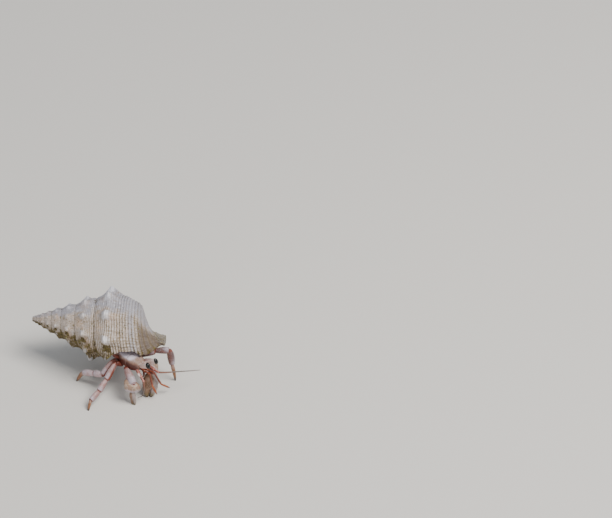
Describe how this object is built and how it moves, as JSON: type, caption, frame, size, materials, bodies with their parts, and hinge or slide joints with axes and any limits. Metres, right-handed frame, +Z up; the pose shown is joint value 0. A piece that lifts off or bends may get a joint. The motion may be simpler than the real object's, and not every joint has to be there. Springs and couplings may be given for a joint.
{
  "type": "hermit crab",
  "caption": "Land hermit crab in a knobbed, high-spired sea snail's shell, walking: a still, life-size model of the whole animal.",
  "frame": {"origin": "on the floor, under the middle of the whole model", "axes": "+Z up. The shell's axis lies nearly along X, its apex towards -X and +Y. The crab's head faces +X and -Y."},
  "size_m": [0.0416, 0.0268, 0.0231],
  "materials": {
    "shell": "worn, chalky shell, bluish white to cream, with olive algae in its hollows",
    "armour": "low satin crab armour, pale pinkish lilac with rust-red margins",
    "armour_red": "low satin crab armour, dark rust-red",
    "claw_tips": "satin horn, reddish brown, dark at the tip",
    "eyestalks": "satin, cream with fine dark dots",
    "eyes": "glossy black, olive at the rim",
    "feelers": "satin, orange-red",
    "soft_body": "soft, moist, brownish pink skin"
  },
  "bodies": {
    "root": {"belly": "soft_body", "eye_L": "eyes", "eye_R": "eyes", "eyestalk_L": "eyestalks", "eyestalk_R": "eyestalks", "feeler_stem_L": "feelers", "feeler_stem_R": "feelers", "feeler_whip_L": "feelers", "feeler_whip_R": "feelers", "lash_stem_L": "feelers", "lash_stem_R": "feelers", "lash_tip_L": "feelers", "lash_tip_R": "feelers", "leg2_L_hip": "armour_red", "leg2_L_knee": "armour", "leg2_L_shin": "armour", "leg2_L_thigh": "armour", "leg2_L_toe": "claw_tips", "leg2_R_hip": "armour_red", "leg2_R_knee": "armour", "leg2_R_shin": "armour", "leg2_R_thigh": "armour", "leg2_R_toe": "claw_tips", "leg3_L_hip": "armour_red", "leg3_L_knee": "armour", "leg3_L_shin": "armour", "leg3_L_thigh": "armour", "leg3_L_toe": "claw_tips", "leg3_R_hip": "armour_red", "leg3_R_knee": "armour", "leg3_R_shin": "armour", "leg3_R_thigh": "armour", "leg3_R_toe": "claw_tips", "leg4_L_hand": "armour_red", "leg4_L_upper": "armour_red", "leg4_R_hand": "armour_red", "leg4_R_upper": "armour_red", "leg5_L": "soft_body", "leg5_R": "soft_body", "mouth_leg_L": "feelers", "mouth_leg_R": "feelers", "pincer_L_finger": "armour", "pincer_L_hand": "armour", "pincer_L_hip": "armour_red", "pincer_L_upper": "armour", "pincer_L_wrist": "armour", "pincer_R_finger": "armour", "pincer_R_hand": "armour", "pincer_R_hip": "armour_red", "pincer_R_upper": "armour", "pincer_R_wrist": "armour", "shell": "shell", "shield": "armour", "thorax": "armour_red", "waist": "soft_body"}
  },
  "joints": []
}
